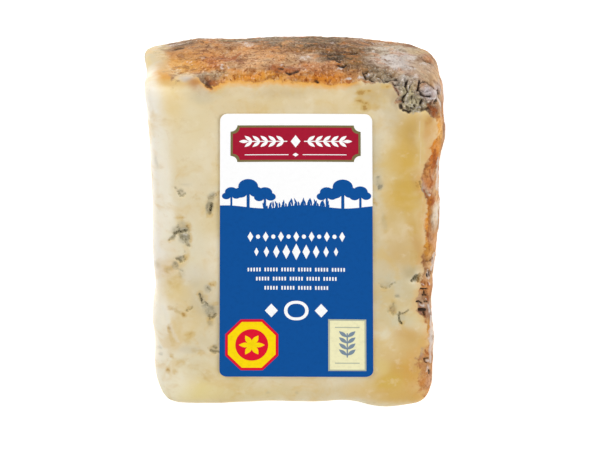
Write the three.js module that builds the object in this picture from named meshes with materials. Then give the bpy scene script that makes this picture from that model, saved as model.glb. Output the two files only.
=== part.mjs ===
// A wedge of blue cheese with a paper label, lying on one of its two cut faces.
//
// The wedge is one slice of a tall drum of cheese. The drum's axis is the wedge's thin edge, the tip,
// and runs along X. The drum's side is the curved rind at +Y, and the drum's flat end is the rind at +X.
// The face at -X and the two faces that meet at the tip are cuts. Sizes are in millimetres.

import * as THREE from 'three';
import { ImprovedNoise } from 'three/addons/math/ImprovedNoise.js';
import { mergeVertices } from 'three/addons/utils/BufferGeometryUtils.js';

// ---- Driving dimensions ----

const DRUM_RADIUS = 103.5;
const WEDGE_ANGLE = THREE.MathUtils.degToRad(30);
const SLICE_WIDTH = 75.8;

const LABEL_WIDTH = 40;
const LABEL_HEIGHT = 79;
const LABEL_THICKNESS = 0.3;
const LABEL_GAP = 0.3;
const LABEL_CORNER = 2;
const LABEL_CENTRE_X = 0.2;
const LABEL_CENTRE_RADIUS = 54.4;

// How far in from a sharp edge each face starts to turn over.
const LABEL_CUT_ROUNDING = 4.5;
const BASE_ROUNDING = 3.5;
const LEFT_END_ROUNDING = 5;
const RIND_ROUNDING = 3.5;
const TIP_ROUNDING = 5.8;
const RIM_ROUNDING_AXIAL = 12.5;
const RIM_ROUNDING_RADIAL = 10;

// Where the soft cheese bulges past (+) or falls short of (-) the plain shape.
// The two ends' bulges are given by the distance from the drum's axis, the others by X.
const LEFT_END_BULGE = [
  [5, -0.2], [15, -0.2], [25, -0.7], [31, -0.1], [40, -1.3], [50, -0.6], [70, -1], [88, -0.7],
  [97, 0.2], [104, 2],
];
const RIND_END_BULGE = [
  [5, -0.6], [25, -0.9], [38, -2.1], [48, -1], [57, -0.7], [75, -0.7], [84, 0.5], [92, 0], [104, 0.2],
];
const TIP_BULGE = [[-36, 0], [-24, 0.6], [-8, 0.2], [4, -0.2], [15, -1], [22, 0.9], [26, 1.1], [36, 0]];
const RIND_BULGE = [
  [-36, -2], [-24, -0.6], [-15, -0.3], [-6, 0.3], [10, 0], [17, -0.3], [24, -1.3], [30, -1.2], [36, -0.3],
];

// How the shape changes from the tip to the rind, and towards the rim at the rind end: where each change
// starts and ends, as distances from the drum's axis or as X.
const TIP_BULGE_FADE = [0, 25];
const TIP_ROUNDING_FADE = [10, 30];
const RIM_FADE_RADIAL = [DRUM_RADIUS - 26, DRUM_RADIUS - 6];
const RIM_FADE_AXIAL = [SLICE_WIDTH / 2 - 20, SLICE_WIDTH / 2 - 4];

// Undulations, as [height, wavelength] pairs. The seeds pick which undulations.
const RIND_WAVES = [[0.8, 16], [0.5, 7]];
const RIND_SEED = 3;
const CUT_WAVES = [[0.5, 30], [0.15, 10]];
const CUT_SEED = 5;

// The lump of mould crust that hangs over the label face below the rim.
const CRUST_X = 31.5;
const CRUST_RADIUS = 97;
const CRUST_REACH = 8.5;
const CRUST_HEIGHT = 1.8;
const CRUST_FOLD = 5.5;
const CRUST_SEED = 0.5;

// Facets along X, from the tip to the rind, and between the two cut faces.
const BODY_FACETS = [36, 34, 18];
const LABEL_FACETS = [14, 22, 1];
const LABEL_CORNER_FACETS = 3;

const PASTE = new THREE.MeshStandardMaterial({ color: 0xdfcd9f, roughness: 0.45, metalness: 0 });
const PAPER = new THREE.MeshStandardMaterial({ color: 0x16508f, roughness: 0.4, metalness: 0 });

// ---- Undulating surfaces ----

const noise = new ImprovedNoise();
const { smoothstep, lerp, clamp } = THREE.MathUtils;

function waves(point, octaves, seed) {
  let height = 0;
  for (const [size, length] of octaves) {
    height += size * noise.noise(point.x / length + seed, point.y / length, point.z / length);
  }
  return height;
}

// A smooth curve through [position, value] pairs.
function curveThrough(pairs) {
  const curve = new THREE.CubicInterpolant(pairs.map((pair) => pair[0]), pairs.map((pair) => pair[1]), 1);
  return (position) => curve.evaluate(position)[0];
}

const leftEndBulge = curveThrough(LEFT_END_BULGE);
const rindEndBulge = curveThrough(RIND_END_BULGE);
const tipBulge = curveThrough(TIP_BULGE);
const rindBulge = curveThrough(RIND_BULGE);

const cutRelief = (point) => waves(point, CUT_WAVES, CUT_SEED);
const rindRelief = (point) => waves(point, RIND_WAVES, RIND_SEED);

// The cut that carries the label also has the crust on it, and follows the tip's bulge near the tip.
function labelCutRelief(point) {
  const radius = Math.hypot(point.y, point.z);
  const reach = Math.hypot(point.x - CRUST_X, radius - CRUST_RADIUS) / CRUST_REACH;
  const fold = Math.abs(noise.noise(point.x / CRUST_FOLD, radius / CRUST_FOLD, CRUST_SEED));
  const crust = CRUST_HEIGHT * Math.exp(-(reach ** 4)) * (1 - fold);
  const nearTip = 1 - smoothstep(radius, ...TIP_BULGE_FADE);
  return cutRelief(point) + crust + tipBulge(point.x) * nearTip * Math.sin(WEDGE_ANGLE);
}

// ---- The cheese ----

// Each face as [distance outside it, rounding]. The axis of the drum is at y = 0, z = 0.
function facesAt(point) {
  const radius = Math.hypot(point.y, point.z);
  const halfWidth = SLICE_WIDTH / 2;
  const nearTip = 1 - smoothstep(radius, ...TIP_ROUNDING_FADE);
  const nearRind = smoothstep(radius, ...RIM_FADE_RADIAL);
  const nearRim = smoothstep(point.x, ...RIM_FADE_AXIAL);
  const labelCut = point.z * Math.cos(WEDGE_ANGLE) - point.y * Math.sin(WEDGE_ANGLE);
  return [
    [-point.z, lerp(BASE_ROUNDING, TIP_ROUNDING, nearTip)],
    [labelCut - labelCutRelief(point), LABEL_CUT_ROUNDING],
    [
      radius - DRUM_RADIUS - rindBulge(point.x) - rindRelief(point),
      lerp(RIND_ROUNDING, RIM_ROUNDING_RADIAL, nearRim),
    ],
    [
      -point.x - halfWidth - leftEndBulge(radius) - cutRelief(point),
      lerp(LEFT_END_ROUNDING, TIP_ROUNDING, nearTip),
    ],
    [
      point.x - halfWidth - rindEndBulge(radius) - rindRelief(point),
      lerp(lerp(RIND_ROUNDING, RIM_ROUNDING_AXIAL, nearRind), TIP_ROUNDING, nearTip),
    ],
  ];
}

// Negative inside the cheese, zero on its skin. Neighbouring faces meet in an elliptic arc.
function outside(point) {
  let sum = 0;
  for (const [distance, rounding] of facesAt(point)) {
    sum += Math.max(0, distance / rounding + 1) ** 2;
  }
  return Math.sqrt(sum) - 1;
}

// Where the facets start, measured from the drum's axis. The skin is pushed out from a core inside them.
const TIP_START = 6;
const CORE = { x: 0.78, tip: 0.7, rind: 0.82, cut: 0.6 };
const RAY_REACH = 1.9;
const BISECTIONS = 48;

// The plain wedge: u runs along X, v from the tip to the rind and w between the cut faces, each -1 to 1.
function plainWedge(u, v, w) {
  const radius = lerp(TIP_START, DRUM_RADIUS, (v + 1) / 2);
  const angle = (WEDGE_ANGLE * (w + 1)) / 2;
  return new THREE.Vector3((u * SLICE_WIDTH) / 2, radius * Math.cos(angle), radius * Math.sin(angle));
}

// The point where the ray from the core through the plain wedge's surface meets the skin.
function skinPoint(u, v, w) {
  const core = plainWedge(
    clamp(u, -CORE.x, CORE.x),
    clamp(v, -CORE.tip, CORE.rind),
    clamp(w, -CORE.cut, CORE.cut),
  );
  const ray = plainWedge(u, v, w).sub(core);
  let inner = 0;
  let outer = RAY_REACH;
  for (let step = 0; step < BISECTIONS; step++) {
    const middle = (inner + outer) / 2;
    if (outside(core.clone().addScaledVector(ray, middle)) < 0) inner = middle;
    else outer = middle;
  }
  return core.addScaledVector(ray, inner);
}

// A box of facets with its corners moved by place(x, y, z), as one closed mesh.
function warpedBox(facets, place) {
  const box = new THREE.BoxGeometry(2, 2, 2, ...facets);
  box.deleteAttribute('normal');
  box.deleteAttribute('uv');
  const geometry = mergeVertices(box);
  const corners = geometry.getAttribute('position');
  for (let index = 0; index < corners.count; index++) {
    const placed = place(corners.getX(index), corners.getY(index), corners.getZ(index));
    corners.setXYZ(index, placed.x, placed.y, placed.z);
  }
  geometry.computeVertexNormals();
  return geometry;
}

function makeCheese() {
  const cheese = new THREE.Mesh(warpedBox(BODY_FACETS, skinPoint), PASTE);
  cheese.name = 'cheese';
  return cheese;
}

// ---- The label ----

// Pulls a square corner of the label in to a quarter circle.
function roundCorner(x, y) {
  const insideX = LABEL_WIDTH / 2 - LABEL_CORNER;
  const insideY = LABEL_HEIGHT / 2 - LABEL_CORNER;
  const overX = Math.max(0, Math.abs(x) - insideX);
  const overY = Math.max(0, Math.abs(y) - insideY);
  if (overX === 0 || overY === 0) return [x, y];
  const pull = Math.max(overX, overY) / Math.hypot(overX, overY);
  return [Math.sign(x) * (insideX + overX * pull), Math.sign(y) * (insideY + overY * pull)];
}

// Where a facet's edge falls across a side of the label, with the same number of facets in every corner.
function facetEdge(position, facets, size) {
  const step = Math.round(((position + 1) / 2) * facets);
  const fromEnd = Math.min(step, facets - step);
  if (fromEnd <= LABEL_CORNER_FACETS) {
    return Math.sign(position) * (size / 2 - (LABEL_CORNER * fromEnd) / LABEL_CORNER_FACETS);
  }
  const inner = size - 2 * LABEL_CORNER;
  return inner * ((step - LABEL_CORNER_FACETS) / (facets - 2 * LABEL_CORNER_FACETS) - 0.5);
}

// The label is drawn flat, with Y up the cut from the tip and Z out of it, and follows the cut's relief.
function labelPoint(u, v, w) {
  const [x, y] = roundCorner(
    facetEdge(u, LABEL_FACETS[0], LABEL_WIDTH),
    facetEdge(v, LABEL_FACETS[1], LABEL_HEIGHT),
  );
  const across = LABEL_CENTRE_X + x;
  const up = LABEL_CENTRE_RADIUS + y;
  const onCut = new THREE.Vector3(across, up * Math.cos(WEDGE_ANGLE), up * Math.sin(WEDGE_ANGLE));
  const lift = LABEL_GAP + (LABEL_THICKNESS * (w + 1)) / 2;
  return new THREE.Vector3(across, up, labelCutRelief(onCut) + lift);
}

function makeLabel() {
  const label = new THREE.Mesh(warpedBox(LABEL_FACETS, labelPoint), PAPER);
  label.name = 'label';
  label.rotation.x = WEDGE_ANGLE;
  return label;
}

// ---- The object, with its origin at the bottom centre of its box ----

const wedge = new THREE.Group();
wedge.add(makeCheese(), makeLabel());
const reach = new THREE.Box3().setFromObject(wedge, true);
const centre = reach.getCenter(new THREE.Vector3());
wedge.position.set(-centre.x, -centre.y, -reach.min.z);

export default wedge;
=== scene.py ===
"""A wedge of blue cheese with a paper label, seen from straight above on a pale floor.

The wedge lies on a cut face. Its tip runs along X at -Y, its curved rind is at +Y, and its flat end at +X
is rind too. The upper cut face slopes up from the tip to the curved rind and carries the label.
Lengths are in millimetres until they reach Blender, which works in metres.
"""

import math

import bmesh
import bpy
import numpy as np
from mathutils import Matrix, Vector


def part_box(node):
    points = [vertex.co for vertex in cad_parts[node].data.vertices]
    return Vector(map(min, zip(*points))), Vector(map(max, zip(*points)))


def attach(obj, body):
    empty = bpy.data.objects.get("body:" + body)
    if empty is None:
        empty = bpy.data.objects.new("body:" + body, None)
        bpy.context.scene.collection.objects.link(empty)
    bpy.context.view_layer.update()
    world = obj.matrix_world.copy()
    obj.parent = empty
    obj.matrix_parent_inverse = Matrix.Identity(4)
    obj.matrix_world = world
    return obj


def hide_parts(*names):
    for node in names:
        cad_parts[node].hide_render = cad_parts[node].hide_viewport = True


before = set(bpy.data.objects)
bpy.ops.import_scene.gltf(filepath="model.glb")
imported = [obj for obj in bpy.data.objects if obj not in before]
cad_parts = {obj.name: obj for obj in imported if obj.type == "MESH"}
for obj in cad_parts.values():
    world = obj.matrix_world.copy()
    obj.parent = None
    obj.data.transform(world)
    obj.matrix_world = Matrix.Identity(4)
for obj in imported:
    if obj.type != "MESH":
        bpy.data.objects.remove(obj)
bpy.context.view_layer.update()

MM = 0.001

# ---- Driving dimensions ----

# The wedge is cut from a drum, whose axis runs along X at the height of the floor.
WEDGE_ANGLE = math.radians(30)
DRUM_RADIUS = 103.5
AXIS_Y = -54.07
RIND_END_X = 37.4
# How thick the rind is, and the radius at which it goes round the edge between the curved side and the end.
RIND_DEPTH = 1.6
RIND_CORNER = 12
# How far the cut side at -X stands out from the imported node.
LEFT_FULLNESS = 0.45

LABEL_CORNER = 2
# How much narrower than its middle the label is at its head, and wider at its foot, as a share.
LABEL_TAPER = 0.032
PAPER_THICKNESS = 0.3
CLEAR_BELOW_PAPER = 0.12

# The camera looks straight down. The photo's size and the focal length are in pixels.
CAMERA_X = 0.98
CAMERA_Y = -1.03
CAMERA_HEIGHT = 800
PHOTO_WIDTH = 600
PHOTO_HEIGHT = 450
FOCAL_PIXELS = 2954.5
SENSOR_WIDTH = 36
# About, on the upper cut face.
PIXELS_PER_MM = 3.8

UP_SLOPE = np.array([0, math.cos(WEDGE_ANGLE), math.sin(WEDGE_ANGLE)])
OUT_OF_SLOPE = np.array([0, -math.sin(WEDGE_ANGLE), math.cos(WEDGE_ANGLE)])

# ---- Where the marks are ----

# All of these are laid out on the photo, in its pixels, and carried straight down onto what they cover.

# The bands over which the looks change, from where a change starts to where it is complete.
LEFT_LOBE_X = (206, 172)
MOULD_SIDE_X = (350, 364)
MOULD_SIDE_Y = (130, 118)
RIGHT_EDGE_X = (370, 434)
RIM_Y = (110, 130)
LOW_RIM_Y = (330, 352)

# Where the rind of the curved side ends and the paste begins: x, y from left to right.
CURVED_RIND_EDGE = [
    (146, 20), (158, 44), (164, 60), (172, 76), (184, 73), (197, 77), (204, 84), (209, 87), (215, 87),
    (220, 83), (226, 81), (255, 82), (280, 80), (310, 83), (330, 85), (345, 84), (358, 79), (366, 84),
    (384, 81), (391, 83), (396, 91), (399, 99), (401, 107), (407, 113), (413, 114), (419, 110), (425, 108),
    (431, 116), (438, 120), (445, 118),
]
# Where the rind of the flat end begins: y, x from top to bottom.
END_RIND_EDGE = [
    (112, 440), (120, 437), (126, 437), (134, 439), (141, 434), (148, 430), (155, 430), (162, 427),
    (168, 423), (178, 421), (188, 422), (198, 425), (206, 427), (226, 425), (240, 426), (250, 424),
    (262, 421), (272, 424), (281, 422), (290, 420), (299, 416), (312, 417), (318, 425), (330, 427),
    (344, 427), (350, 424), (357, 420), (366, 418), (386, 419), (397, 423), (406, 430),
]
# Where a corner is fuller than its rounding: x, y and reach, and how many millimetres across and up.
CORNER_SWELLS = [(150, 56, 22, -1.7, 0.9), (430, 396, 24, 0.5, -0.8), (432, 48, 20, 0.3, 0.4)]
# The swollen grey mould, as ellipses: centre x and y, half width, half height.
MOULD = [(415, 97, 19, 16), (402, 86, 9, 11), (379, 75, 18, 8), (429, 103, 8, 7)]

# A blot is an ellipse: centre x and y, half width, half height and strength, and, where it is turned,
# by how many degrees anticlockwise.
# A line runs through its points: x and y of each, then half its width, and its strength.
VEIN_BLOTS = [
    # Left of the label, from the top down.
    (181, 193, 4, 4, 0.5), (186, 186, 8, 2.4, 0.3), (209.5, 208, 5, 8, 0.75, -8),
    (211, 198, 5, 8, 0.6, -20), (182, 225, 6, 6, 0.5), (180, 231, 11, 6, 0.7), (184, 239, 7, 7, 0.8),
    (173, 238, 5, 3, 0.6, 32), (187, 244, 3, 5, 0.6, 28), (180, 259, 6, 4, 0.7), (175, 266, 5, 5, 0.6, 20),
    (168, 269, 5, 3, 0.4, 15), (181, 273, 4, 7, 0.35), (158, 264, 4, 6, 0.4), (157, 162, 2, 9, 0.4, 12),
    (208, 289, 5, 5, 0.6), (195, 284, 7, 5, 0.2), (202, 298, 4, 6, 0.5, 22), (206, 306, 5, 4, 0.7),
    (211, 312, 8, 9, 0.7), (210, 324, 4, 4, 0.5), (176, 311, 8, 2.4, 0.3, -28), (214, 350, 5, 5, 0.5),
    (160, 347, 3.4, 2.6, 0.5), (161, 354, 3, 2.4, 0.5), (190, 350, 16, 5, 0.35),
    # Right of the label, from the top down.
    (378.5, 178, 3.4, 3, 0.75), (379.5, 188, 3, 3, 1), (379, 184, 6, 9, 0.5), (384, 222, 4, 12, 0.35, 12),
    (397, 297, 3, 2.4, 0.5), (393, 308, 5, 6, 0.45), (401, 317, 5, 6, 0.4), (386, 285, 8, 4, 0.3),
    (416.5, 279, 4.8, 4.6, 1.2), (268, 393, 3, 2.4, 0.4), (297, 393, 2.4, 2.4, 0.4), (414, 368, 4, 10, 0.3),
]
VEIN_LINES = [
    # Left of the label, from the top down.
    (175, 188, 177, 191, 182, 192, 0.9, 0.6), (178, 192, 180, 196, 183, 196.5, 185, 194, 1, 0.8),
    (209, 199, 212, 197.5, 216, 195, 1.2, 0.55), (211.5, 204, 211, 208, 210.5, 211, 209.5, 214, 1.2, 0.9),
    (211, 206.5, 210.5, 211, 0.9, 1.8), (169, 240, 172, 238.5, 174, 236, 1.3, 0.8),
    (174, 234, 179, 232, 182, 232.5, 186, 231, 1.2, 1.3), (183, 239, 186.5, 242, 189, 246, 1.7, 0.6),
    (178, 226, 177.5, 229, 180, 231, 1.1, 0.6), (180, 236, 182, 239, 1.4, 0.8),
    (187, 227, 188.5, 233, 188.5, 239, 1, 0.6), (176.5, 259, 179, 260, 181, 262, 1.3, 0.9),
    (183, 257, 185, 259, 184, 261, 1, 0.7), (184.5, 252, 184.5, 255, 0.9, 0.5),
    (175, 264, 176, 269, 182, 271, 1.2, 0.45), (199.5, 294, 200.5, 297, 201.5, 300, 202, 302, 0.8, 1.2),
    (202, 303, 205, 302.5, 207, 304, 0.8, 0.9), (206, 305, 209, 307, 1, 0.6),
    (209, 316, 210, 319, 212.5, 318, 216, 315, 1.2, 0.9), (187, 311, 190, 309.5, 192, 307.5, 1.2, 0.65),
    (208, 288, 209.5, 291, 1.3, 0.7), (214, 347, 216, 348.5, 1.7, 0.7),
    (211, 351, 214, 352.5, 219, 352, 1.3, 0.75),
    # Right of the label, from the top down.
    (380, 285, 382, 288, 385, 288.5, 389, 287.5, 392, 284, 395, 283, 0.8, 0.6),
    (395, 297, 398, 297, 1, 0.5), (394, 303, 393, 307, 391, 309, 0.9, 0.5),
    (388, 312, 391, 312, 393, 315, 397, 315, 1, 0.6),
    (399.5, 313, 399, 318, 399.5, 321, 401.5, 324, 0.7, 1.4), (400.5, 315, 404, 313.5, 408, 311, 0.8, 0.9),
    (412, 281, 415, 279, 416, 278, 1.4, 1.4), (415, 278, 419, 277, 420, 275, 1.6, 1.1),
    (418.5, 279, 418.5, 282, 1.3, 1.3), (419.5, 182, 420.5, 184, 421.5, 187, 1, 0.9),
]
OCHRE_BLOTS = [
    # Left of the label.
    (180, 217, 7, 3, 0.9), (188, 227, 4, 8, 0.9), (190, 238, 3, 6, 0.8), (171, 240, 5, 3, 0.7, 20),
    (210, 214, 4, 5, 0.9), (211, 199, 5, 4, 0.6), (217, 194, 3, 6, 0.8, -20), (197, 196, 4, 5, 0.5),
    (168, 269, 7, 4, 0.75, 15), (186, 257, 4, 5, 0.8), (175, 281, 10, 9, 0.5), (179, 278, 3, 8, 0.5),
    (213, 284, 7, 4, 1), (200, 295, 5, 7, 0.7, 20), (214, 304, 6, 4, 0.7), (206, 297, 4, 5, 0.6),
    (184, 315.5, 5, 3, 0.95, -10), (174, 310, 9, 3, 0.8, -28), (188, 309.5, 6, 3, 0.7, 30),
    (169, 330, 3, 7, 1, 12), (172, 341, 3, 8, 0.6, 22), (191, 334, 6, 5, 0.9), (187, 341, 5, 5, 0.6),
    (201, 353, 6, 3, 0.9, -10), (194, 351, 6, 3, 0.6), (214, 350, 6, 6, 0.7), (210, 321, 5, 6, 0.7),
    (173, 355.5, 4, 3.6, 0.85), (168, 370, 3, 4.4, 0.95), (175, 371, 3, 4, 0.8, 30),
    (181, 363, 8, 4, 0.6, 38), (208, 376, 8, 7, 0.55), (195, 366, 9, 6, 0.4),
    # Right of the label.
    (374, 202, 5, 3, 0.9, -45), (376, 206, 3, 3, 0.9), (386, 231, 4, 4, 0.65), (384, 218, 5, 4, 0.5),
    (392, 310, 5, 7, 0.9), (394, 303, 3, 4, 0.7, -20), (402, 323, 4, 4, 0.8), (405, 313, 7, 3, 0.5, 28),
    (414, 258, 6, 12, 0.7), (384, 289, 4, 3, 0.6), (413, 233, 8, 3, 0.55, 25), (418, 184, 4, 5.5, 1),
    (415, 188, 3, 3, 0.7), (361, 92, 7, 4, 1.4), (368, 91, 4, 3, 1.5), (360, 100, 7, 4, 1.2, -20),
    (366, 106, 8, 6, 1.5), (376, 107, 6, 5, 0.7), (386, 87, 8, 4, 0.9), (372, 96, 14, 12, 0.45),
]
DARK_LINES = [
    # The left half of the curved rind, from the top down.
    (175, 49, 177, 48.5, 184, 47.5, 0.9, 1.2), (201, 42, 204, 42.5, 1, 0.9), (216, 41, 221, 41.5, 1.2, 0.7),
    (217, 70, 224, 71.5, 0.9, 0.8), (206, 78, 207.5, 82, 1.4, 0.7), (206, 85.5, 211, 87.5, 1.8, 0.9),
    (249, 41, 256, 42, 263, 42, 264, 43.5, 0.9, 0.9), (264, 44, 271, 43, 281, 43, 281, 46, 1.2, 0.8),
    (279, 68.5, 283, 69.5, 1.7, 0.9), (284.5, 66.5, 287, 66, 1.5, 0.7), (276.5, 71.5, 280, 72.5, 1.4, 0.7),
    (286, 72.5, 290, 73.5, 294, 72.5, 298, 71, 1.8, 1),
    # The right half.
    (311, 45, 317, 45, 1.1, 0.95), (322, 43.5, 327, 44, 325, 47, 0.9, 0.9), (337, 44.5, 339, 44, 1.3, 1.2),
    (360, 49.5, 365, 49, 374, 48.5, 0.8, 0.8), (346, 54.5, 352, 54, 357, 53, 1, 1.1),
    (330, 56, 338, 54.5, 345, 54.5, 0.8, 0.8), (328, 57, 330, 58.5, 1.2, 1.1),
    (335, 60, 337, 61.5, 340, 62, 1.2, 1.1), (333, 59, 345, 58.5, 352, 59, 0.9, 0.8),
    (338, 65, 341, 66, 344, 66.5, 346, 65, 1.2, 1.3), (421.5, 57, 423, 60.5, 426, 62, 430, 63.5, 0.9, 0.7),
    (315.5, 80.5, 318, 82.5, 1.5, 1),
    # The crust beside the mould.
    (365, 72, 368, 70, 373, 69, 385, 69.5, 390, 71, 393, 74, 1.1, 0.8), (363, 72, 366, 76, 1.4, 1),
    (371, 77, 372.5, 79.5, 374, 79.5, 1.3, 1.2), (377, 75, 381, 75.5, 383, 80, 1.1, 0.8),
    (385.5, 79.5, 391, 79, 394, 78.5, 397, 78, 1.3, 0.95), (392, 82, 395, 84, 398, 83, 1.3, 0.85),
    (395, 87, 397, 91, 398.5, 95, 1, 0.7),
    # The folds of the mould, which are painted shade along the creases between its lobes.
    (404, 96, 402.5, 99, 402, 101, 403.5, 103, 1.6, 1.1), (400, 106, 401, 108.5, 2.1, 1.2),
    (403, 110.5, 406, 112, 409, 113, 411, 112, 1.4, 1.2), (407, 108, 409, 111, 1.7, 0.8),
    (407.5, 80, 406.5, 83, 406, 85, 1.7, 1.3), (406, 85, 407, 89, 408.5, 90.5, 407, 92.5, 404.5, 96, 1, 1),
    (412.5, 91, 416, 92, 1, 0.8), (413, 95, 413, 103.5, 0.9, 0.8), (415, 105.5, 415.5, 107, 1.2, 1.2),
    (411, 109, 413, 110, 1.2, 0.9), (416, 98, 417.5, 103, 1, 0.6),
    (419.5, 80, 419.5, 84, 418.5, 88, 420, 90, 421, 92, 422, 95, 424.5, 96.5, 430, 96.5, 432, 96, 1.4, 1.2),
    (421, 82, 425, 81, 428, 83, 432, 86, 435, 89, 1, 0.9),
    (438, 90, 438, 95, 437.5, 99, 436, 103, 1.5, 1.1), (422, 100.5, 422.5, 102, 421, 104.5, 1.4, 1.25),
    (422, 111, 426, 109.5, 429, 108.5, 1.5, 0.85),
    # The rim of the flat end.
    (427, 262, 430, 261, 432, 258, 0.9, 0.7), (428.5, 271, 429.5, 276, 0.9, 1),
    (427, 274, 427, 276.5, 1.1, 1.1), (420.5, 289, 427, 289, 1.1, 1.25), (424, 291, 424.5, 295, 1.2, 0.95),
    (423, 295, 426, 295, 1.3, 1.15), (416.5, 301.5, 419, 301.5, 421.5, 303.5, 1.3, 1.2),
    (424.5, 301.5, 427, 301.5, 1.1, 1.1), (419.5, 310, 425, 310, 2.1, 1.35),
    (423.5, 312, 424.5, 315, 1.3, 1.15), (427, 363, 424.5, 361.5, 424.5, 359, 427.5, 358.5, 0.9, 1),
    (429, 370, 429.5, 373, 1.2, 1.1),
]
RUST_LINES = [
    # The curved rind, from the left.
    (207, 79, 212, 84, 216, 82, 3.4, 0.55), (206, 86, 212, 89, 2, 0.8),
    (222, 60, 227, 61.5, 231, 60, 236, 57, 240, 54, 1.6, 1), (273, 66, 275, 70, 277, 74, 1.8, 0.9),
    (288, 78, 296, 78, 1.8, 0.7), (274, 68, 280, 71, 288, 70, 298, 70, 3.8, 0.7),
    (305, 66, 308, 65, 309, 67, 0.9, 0.9), (312, 70, 314, 72, 318, 74, 1.3, 0.9),
    (332, 73, 334, 77, 1.5, 0.7), (347, 81, 349, 83, 351, 81, 1.5, 1),
    (424, 55, 428, 57, 430, 61, 1.8, 0.6),
    # About the mould.
    (394, 87, 398, 92, 399, 95, 2.4, 0.6), (396, 102, 400, 102, 2, 0.6), (431, 103, 435, 104, 1.2, 0.6),
    (429, 106, 432, 108, 435, 110, 3.2, 0.8), (433.5, 113, 434, 114, 2.4, 0.9),
    (435, 116, 439, 117, 2, 0.7),
    # The rim, from the top down.
    (435, 150, 434, 158, 434, 164, 432, 168, 1.8, 0.9), (430, 170, 430, 176, 432, 182, 430, 187, 1.5, 0.8),
    (424, 190, 426, 196, 429, 202, 430, 207, 1.3, 0.8), (429, 193, 430.5, 194, 1.2, 0.8),
    (431, 200, 434, 201, 431, 205, 1.8, 0.9), (429, 208, 429, 216, 429, 224, 428, 232, 1.2, 0.6),
    (428, 233, 428, 237, 1.3, 0.8), (429, 240, 429, 250, 1.2, 0.6), (422, 267, 425, 269, 1.4, 0.5),
    (428, 283, 428, 286, 1.1, 0.9), (427, 297, 428, 300, 1.2, 0.9), (425.5, 317, 425.5, 323, 1.2, 0.7),
    (425, 350, 428, 354, 1.5, 0.8), (420, 356, 419, 362, 420, 368, 1.8, 0.55),
]
BLOOM_BLOTS = [
    # The curved rind, from the left.
    (203, 58, 3, 2, 0.7), (190, 62, 5, 2, 0.6), (222, 67, 3, 2.4, 0.8), (229, 68, 3, 2, 0.6),
    (188, 79, 9, 3, 0.7), (222, 75.5, 12, 2, 0.4), (247, 44, 10, 2.6, 0.6), (253, 78, 3, 2, 0.7),
    (298, 41, 6, 2, 0.7), (305, 58, 9, 3, 0.8), (307, 71, 3, 2, 0.6), (282, 65, 3, 2, 0.7),
    (332, 43, 3, 1.6, 0.9), (340, 67.5, 4, 1.6, 1), (349, 78.5, 4, 1.6, 0.8), (361, 77, 6, 2.4, 0.9),
    (373, 52, 4, 2, 0.8), (380, 44, 7, 2, 0.7), (388, 47, 7, 2, 0.8), (396, 51, 7, 2.6, 0.8),
    (390, 58, 12, 3.6, 0.9), (395, 66, 10, 4.4, 1), (412, 58, 7, 2.6, 0.8), (410, 69, 9, 3, 0.8),
    (424, 64, 7, 1.8, 0.9), (415, 76, 6, 3, 0.8), (404, 78, 4, 4, 0.7), (428, 91, 5, 4, 0.9),
    # The rim, from the top down.
    (429, 195, 2.4, 1.6, 0.9), (437, 213, 2, 13, 0.8), (428.5, 275, 3, 5, 1.1), (422, 304, 4, 4, 0.6),
    (430, 334, 2.4, 16, 0.9), (427, 361, 2, 2, 1.1), (428, 370, 3, 6, 0.7),
]
BLOOM_LINES = [
    (367.5, 74.5, 369, 73, 1.4, 1.3), (378.5, 78, 382, 78.5, 1.3, 1.2), (403, 80, 404, 84, 1.5, 0.8),
    (408.5, 84, 409, 89, 1.2, 1), (411, 81, 411, 85, 1.2, 0.8), (408, 93, 406, 98, 405.5, 104, 1.5, 0.8),
    (416.5, 90.5, 417, 94, 1, 0.7), (434, 90, 436.5, 93, 436, 97, 433, 99, 429, 98.5, 1.1, 1.2),
    (421, 96, 423, 98.5, 0.9, 0.8), (423.5, 103, 424, 104, 0.9, 1.2), (417, 108, 420, 107.5, 1.5, 0.9),
    (415, 111, 419, 112.5, 1.6, 0.7), (411, 106, 413, 108, 1.2, 0.8),
    # The rim, from the top down.
    (438, 158, 437.5, 166, 437, 176, 437, 190, 1.7, 0.95), (433.5, 253, 432.5, 262, 431.5, 270, 1.6, 1),
    (428, 270, 427, 272, 0.9, 1), (422, 283.5, 424, 284.5, 0.9, 1), (428, 281, 429.5, 285, 1, 1),
    (425.5, 298, 426.5, 299, 0.8, 1.1), (421, 305.5, 423.5, 306, 0.9, 1.2), (428, 305, 429, 311, 1.2, 1),
    (430.5, 316, 430, 330, 430, 350, 430, 362, 1.5, 1),
]
# Pale lines. Those down x 166 and x 420 are painted highlights along the rounded edges of the upper face;
# the others are pale marks.
PALE_LINES_AND_EDGE_HIGHLIGHTS = [
    (183.5, 235.5, 186, 236, 1.3, 0.6), (163, 306, 167, 316, 170, 326, 173, 333, 178, 341, 2.6, 0.5),
    (180, 78.5, 187, 77, 196, 77.5, 2.6, 0.25), (166, 110, 167, 150, 166, 190, 1.4, 0.3),
    (419.5, 122, 420, 150, 419, 166, 1.2, 0.4), (422, 196, 421, 215, 423, 228, 1.4, 0.3),
]

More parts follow.
